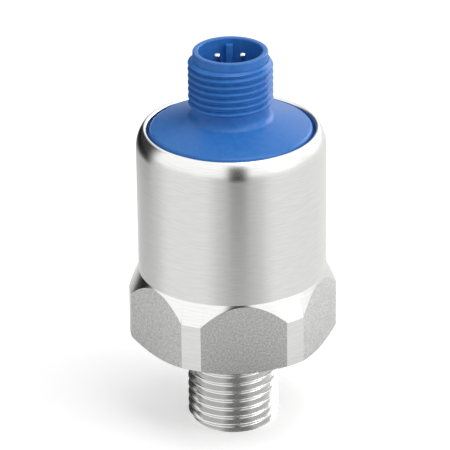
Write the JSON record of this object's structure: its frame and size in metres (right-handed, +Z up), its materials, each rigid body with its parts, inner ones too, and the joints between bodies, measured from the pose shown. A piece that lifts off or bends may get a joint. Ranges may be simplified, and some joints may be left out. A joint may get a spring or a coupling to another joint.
{
  "type": "pressure transmitter",
  "caption": "Upright stainless pressure transmitter: threaded process stud, hexagon, round can with a rolled rim, and a blue threaded pin connector on top.",
  "frame": {"origin": "centre of the end face of the process stud, which the part stands on", "axes": "+Z up the axis towards the connector; two hexagon flats face +Y and -Y, two corners point along +X and -X"},
  "size_m": [0.0296, 0.027, 0.0572],
  "materials": {
    "stainless": "turned can with fine grain round it, speckled drawn flats on the hexagon",
    "blue_moulding": "satin moulded polyamide",
    "contact_metal": "plated, smooth",
    "seal_rubber": "matt black",
    "alumina": "matt white ceramic, opaque",
    "glass_bond": "fired glass frit, opaque",
    "sleeve_plastic": "matt moulded plastic",
    "board_laminate": "satin solder mask over glass laminate",
    "chip_epoxy": "matt moulded epoxy",
    "capacitor_body": "matt ceramic with tinned ends",
    "resistor_body": "matt with tinned ends",
    "tinned_wire": "tinned, smooth"
  },
  "bodies": {
    "root": {"steel_body": "stainless", "cell_o_ring": "seal_rubber", "ceramic_diaphragm": "alumina", "glass_bond_ring": "glass_bond", "ceramic_base": "alumina", "spacer_sleeve": "sleeve_plastic", "circuit_board": "board_laminate", "signal_chip": "chip_epoxy", "protection_diode": "chip_epoxy", "capacitor_1": "capacitor_body", "capacitor_2": "capacitor_body", "resistor_1": "resistor_body", "resistor_2": "resistor_body", "cell_lead_1": "tinned_wire", "cell_lead_2": "tinned_wire", "cell_lead_3": "tinned_wire", "cell_lead_4": "tinned_wire", "connector_body": "blue_moulding", "connector_o_ring": "seal_rubber", "contact_pin_1": "contact_metal", "contact_pin_2": "contact_metal", "contact_pin_3": "contact_metal", "contact_pin_4": "contact_metal"}
  },
  "joints": []
}
